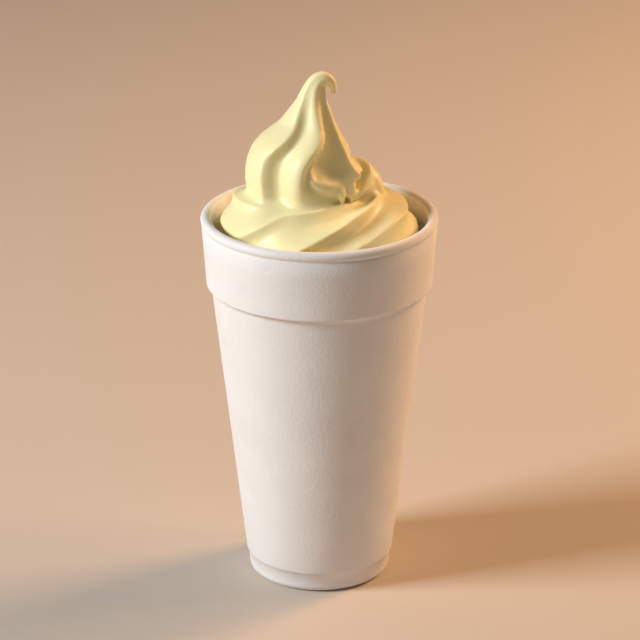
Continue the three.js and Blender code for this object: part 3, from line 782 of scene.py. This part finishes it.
# %% The cup's outline
def cup_outside():
    """From the recess under the floor, round the foot, up the outside and over the lip."""
    band = body_radius(BAND_HEIGHT)
    collar = BODY_TOP_RADIUS + COLLAR_STEP
    bead_radius = LIP_RADIUS - LIP_BEAD
    bead_height = RIM_HEIGHT - LIP_BEAD
    inside_of_foot = FOOT_RADIUS - FOOT_FLAT
    outline = [(0, RECESS), (inside_of_foot - RECESS_SLOPE, RECESS), (inside_of_foot, 0)]
    outline += arc(FOOT_RADIUS, FOOT_ROUND, FOOT_ROUND, -90, 0, 8)
    outline += [(band - BAND_STEP, BAND_HEIGHT - 0.5)]
    outline += arc(band - BAND_ROUND, BAND_HEIGHT + 0.1, BAND_ROUND, -90, 0, 3)
    outline += [(body_radius(z), z) for z in BODY_STATIONS]
    outline += arc(collar - COLLAR_ROUND, WALL_BREAK + COLLAR_ROUND, COLLAR_ROUND, -90, 0, 6)
    for share in NECK_SHARES:
        outline += [(blend(collar, LIP_RADIUS - NECK_INSET, share),
                     blend(WALL_BREAK + 2, bead_height - NECK_DROP, share))]
    outline += [(LIP_RADIUS - UNDER_LIP_INSET, bead_height - UNDER_LIP_DROP)]
    outline += arc(bead_radius, bead_height, LIP_BEAD, -46, 180, 22)
    return outline


def cup_inside():
    """From the lip down the inside to the middle of the floor."""
    mouth = inner_radius(WALL_BREAK) + MOUTH_SLOPE * (LEDGE_HEIGHT - WALL_BREAK)
    outline = [(LIP_RADIUS - 2 * LIP_BEAD, LEDGE_HEIGHT + 0.5), (mouth + 0.15, LEDGE_HEIGHT + 0.1),
               (mouth, LEDGE_HEIGHT - 0.5)]
    outline += [(inner_radius(z), z) for z in (WALL_BREAK, 90, 60, 30, FLOOR_TOP + FLOOR_CHAMFER)]
    outline += [(inner_radius(FLOOR_TOP) - FLOOR_CHAMFER, FLOOR_TOP), (0, FLOOR_TOP)]
    return outline


def make_cup():
    """The cup as one turned wall."""
    bm = bmesh.new()
    turned_outline(bm, cup_outside() + cup_inside(), CUP_SIDES)
    return finished("foam_cup", bm)


foam_cup = make_cup()
packed_low, packed_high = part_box("cup")
print("the lip stands at", RIM_HEIGHT, "mm, and the packed cup is, in metres:", packed_low, packed_high)

# %% [markdown]
# Materials are trees of nodes. A small helper adds nodes and links them, so that each material below
# reads as a short list. A value that is the same all over goes on the shader's own socket.


# %% Node helper
class Nodes:
    """Adds nodes to a tree and links them."""

    def __init__(self, tree):
        """Keeps the tree that the nodes go into."""
        self.tree = tree

    def link(self, source, target):
        """Joins an output to an input."""
        self.tree.links.new(source, target)

    def add(self, kind, inputs=None, **settings):
        """A new node. Its inputs are plain values, or outputs of other nodes to be joined."""
        node = self.tree.nodes.new(kind)
        for name, value in settings.items():
            setattr(node, name, value)
        for name, value in (inputs or {}).items():
            if isinstance(value, bpy.types.NodeSocket):
                self.link(value, node.inputs[name])
            else:
                node.inputs[name].default_value = value
        return node


def new_material(name):
    """A material with an empty tree, its Principled shader and its output."""
    material = bpy.data.materials.new(name)
    material.use_nodes = True
    material.node_tree.nodes.clear()
    nodes = Nodes(material.node_tree)
    output = nodes.add("ShaderNodeOutputMaterial")
    shader = nodes.add("ShaderNodeBsdfPrincipled")
    nodes.link(shader.outputs["BSDF"], output.inputs["Surface"])
    print("new material:", name)
    return material, nodes, shader


# %% [markdown]
# Foam and cream have one thing in common: seen from near, neither is even. Wide soft patches change
# their tint and gloss, and a fine grain breaks their skin. So both patterns are one node group, with
# its scales as inputs, and each material places it with its own values. Object coordinates keep the
# patterns still on the piece.

# %% Patches and grain
GROUP_INPUTS = (("Vector", "NodeSocketVector"), ("Patch Scale", "NodeSocketFloat"),
                ("Grain Scale", "NodeSocketFloat"), ("Detail", "NodeSocketFloat"))


def make_uneven():
    """A node group that puts out two masks from 0 to 1: wide patches and fine grain."""
    group = bpy.data.node_groups.new("patches_and_grain", "ShaderNodeTree")
    for name, kind in GROUP_INPUTS:
        group.interface.new_socket(name, in_out="INPUT", socket_type=kind)
    nodes = Nodes(group)
    given = nodes.add("NodeGroupInput").outputs
    masks = {}
    for name in ("Patch", "Grain"):
        group.interface.new_socket(name, in_out="OUTPUT", socket_type="NodeSocketFloat")
        noise = nodes.add("ShaderNodeTexNoise", {"Vector": given["Vector"], "Detail": given["Detail"],
                                                 "Scale": given[name + " Scale"]})
        masks[name] = noise.outputs["Fac"]
    nodes.add("NodeGroupOutput", masks)
    return group


uneven = make_uneven()
print("node group", uneven.name, "has", [socket.name for socket in uneven.interface.items_tree])

# %% [markdown]
# A tint lies between two close colours, by the patches. Blender's Mix node has sockets for numbers,
# vectors and colours under the same names, so the ones for colours are taken by their numbers.

# %% Tint
MIX_FACTOR = 0
MIX_FIRST = 6
MIX_SECOND = 7
MIX_RESULT = 2


def tint(nodes, mask, first, second):
    """A colour between first and second, by a mask."""
    mix = nodes.add("ShaderNodeMix", {MIX_FACTOR: mask, MIX_FIRST: first, MIX_SECOND: second},
                    data_type="RGBA")
    print("tint from", first[:3], "to", second[:3])
    return mix.outputs[MIX_RESULT]


# %% [markdown]
# The foam is white and dull. Close up, its skin shows the beads that were steamed together: cells of
# about a millimetre with fine seams between them. A smooth Voronoi pattern gives the cells, and the
# patches and the grain break their regularity. Modelled beads would be far too many for so little.

# %% Foam
FOAM_SHADE = (0.80, 0.79, 0.78, 1)
FOAM_WHITE = (0.90, 0.89, 0.885, 1)


def foam_bump(nodes, place, masks):
    """The beads' small domes and the grain on them, as a bent normal."""
    cells = nodes.add("ShaderNodeTexVoronoi", {"Vector": place, "Scale": 900.0, "Smoothness": 0.35},
                      feature="SMOOTH_F1")
    domes = nodes.add("ShaderNodeMath", {0: cells.outputs["Distance"], 1: -0.9, 2: masks["Patch"]},
                      operation="MULTIPLY_ADD")
    height = nodes.add("ShaderNodeMath", {0: masks["Grain"], 1: 0.4, 2: domes.outputs[0]},
                       operation="MULTIPLY_ADD")
    bump = nodes.add("ShaderNodeBump", {"Height": height.outputs[0], "Strength": 0.16,
                                        "Distance": 0.0005})
    return bump.outputs["Normal"]


def make_foam():
    """White bead foam, dull with a faint sheen."""
    material, nodes, shader = new_material("bead_foam")
    place = nodes.add("ShaderNodeTexCoord").outputs["Object"]
    masks = nodes.add("ShaderNodeGroup", {"Vector": place, "Patch Scale": 70.0, "Grain Scale": 1300.0,
                                          "Detail": 3.0}, node_tree=uneven).outputs
    dull = nodes.add("ShaderNodeMapRange", {"Value": masks["Grain"], "To Min": 0.5, "To Max": 0.66})
    nodes.link(tint(nodes, masks["Patch"], FOAM_SHADE, FOAM_WHITE), shader.inputs["Base Color"])
    nodes.link(dull.outputs["Result"], shader.inputs["Roughness"])
    nodes.link(foam_bump(nodes, place, masks), shader.inputs["Normal"])
    shader.inputs["Subsurface Weight"].default_value = 0.12
    shader.inputs["Subsurface Radius"].default_value = (1.0, 0.9, 0.8)
    shader.inputs["Subsurface Scale"].default_value = 0.002
    shader.inputs["Specular IOR Level"].default_value = 0.4
    return material


foam = make_foam()
foam_cup.data.materials.append(foam)
print("foam on", foam_cup.name)

# %% [markdown]
# Soft serve is half ice and air, so light goes a few millimetres in before it comes out again. That
# is subsurface scattering: it softens the shade in the grooves and warms thin edges. A plain glossy
# yellow would look like plastic. Its skin is smooth and a little wet, so it has a soft broad
# highlight, and faint ripples keep that highlight from being even.

# %% Cream
CREAM_DEEP = (0.94, 0.85, 0.46, 1)
CREAM_PALE = (0.96, 0.88, 0.53, 1)


def cream_bump(nodes, place, masks):
    """Faint ripples with a fine grain of ice on them, as a bent normal."""
    ripple = nodes.add("ShaderNodeTexNoise", {"Vector": place, "Scale": 260.0, "Detail": 2.0})
    height = nodes.add("ShaderNodeMath", {0: masks["Grain"], 1: 0.25, 2: ripple.outputs["Fac"]},
                       operation="MULTIPLY_ADD")
    bump = nodes.add("ShaderNodeBump", {"Height": height.outputs[0], "Strength": 0.10,
                                        "Distance": 0.0005})
    return bump.outputs["Normal"]


def make_cream():
    """Pale yellow frozen cream, softly translucent, with a satin skin."""
    material, nodes, shader = new_material("pineapple_cream")
    place = nodes.add("ShaderNodeTexCoord").outputs["Object"]
    masks = nodes.add("ShaderNodeGroup", {"Vector": place, "Patch Scale": 55.0, "Grain Scale": 1500.0,
                                          "Detail": 2.0}, node_tree=uneven).outputs
    satin = nodes.add("ShaderNodeMapRange", {"Value": masks["Patch"], "To Min": 0.34, "To Max": 0.5})
    nodes.link(tint(nodes, masks["Patch"], CREAM_DEEP, CREAM_PALE), shader.inputs["Base Color"])
    nodes.link(satin.outputs["Result"], shader.inputs["Roughness"])
    nodes.link(cream_bump(nodes, place, masks), shader.inputs["Normal"])
    shader.inputs["Subsurface Weight"].default_value = 0.4
    shader.inputs["Subsurface Radius"].default_value = (1.0, 0.62, 0.22)
    shader.inputs["Subsurface Scale"].default_value = 0.002
    shader.inputs["Specular IOR Level"].default_value = 0.45
    return material


cream = make_cream()
for piece in (swirl, fill):
    piece.data.materials.append(cream)
    print("cream on", piece.name)

# %% [markdown]
# The studio is a plain pale floor, wide enough to fill every view, so no backdrop is needed.

# %% Floor
FLOOR_RADIUS = 4000
FLOOR_SIDES = 96
FLOOR_COLOUR = (0.62, 0.54, 0.46, 1)


def make_floor():
    """A wide round floor that fills the view."""
    bm = bmesh.new()
    bmesh.ops.create_circle(bm, cap_ends=True, segments=FLOOR_SIDES, radius=FLOOR_RADIUS)
    floor = finished("floor", bm, smooth=False)
    material, _, shader = new_material("pale_floor")
    shader.inputs["Base Color"].default_value = FLOOR_COLOUR
    shader.inputs["Roughness"].default_value = 0.7
    floor.data.materials.append(material)
    return floor


floor = make_floor()

# %% [markdown]
# Soft light comes from square area lights. The strong cool one stands at the left, a little to the
# front, and models the ridges. A warm one stands at the right and behind, and it gives the cream and
# the cup their orange edge. A smaller warm one above it and nearer the front reaches the ribbon and
# the fold. A weak cool one low in front, with a faint sky, keeps the shaded side readable. A sun
# would light them all alike, but its shadows would be too hard for a room.

# %% Lights
LIGHT_AIM = Vector((0, 0, 0.14))
# Lights as (name, place, size, power, colour).
LIGHTS = [
    ("cool_key", (-1.38, -0.42, 0.93), 0.5, 27, (1.0, 0.99, 0.985)),
    ("warm_side", (1.0, 0.62, 0.82), 0.4, 15, (1.0, 0.56, 0.27)),
    ("warm_top", (0.95, 0.10, 1.05), 0.3, 3.5, (1.0, 0.62, 0.33)),
    ("low_front", (0.35, -1.60, 0.30), 0.6, 1.2, (0.93, 0.97, 1.0)),
]


def add_light(name, place, size, power, colour):
    """A square area light that looks at the swirl."""
    data = bpy.data.lights.new(name, "AREA")
    data.shape = "SQUARE"
    data.size = size
    data.energy = power
    data.color = colour
    light = bpy.data.objects.new(name, data)
    light.location = place
    light.rotation_euler = (Vector(place) - LIGHT_AIM).to_track_quat("Z", "Y").to_euler()
    bpy.context.scene.collection.objects.link(light)
    print(name, "at", place, "with", power, "watts")


for row in LIGHTS:
    add_light(*row)

# %% [markdown]
# The sky is almost off. The Standard view shows colours as they are, where Blender's default view
# would grey the bright yellow.

# %% Sky and view
sky = bpy.data.worlds.new("studio")
sky.use_nodes = True
background = sky.node_tree.nodes["Background"]
background.inputs["Color"].default_value = (0.9, 0.88, 0.85, 1)
background.inputs["Strength"].default_value = 0.05
bpy.context.scene.world = sky
bpy.context.scene.view_settings.view_transform = "Standard"
print("view transform:", bpy.context.scene.view_settings.view_transform)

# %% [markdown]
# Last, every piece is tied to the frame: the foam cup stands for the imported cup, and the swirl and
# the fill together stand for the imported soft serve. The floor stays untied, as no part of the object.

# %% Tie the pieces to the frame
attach(foam_cup, "root")
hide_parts("cup")
for piece in (swirl, fill):
    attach(piece, "root")
    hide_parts("soft_serve")
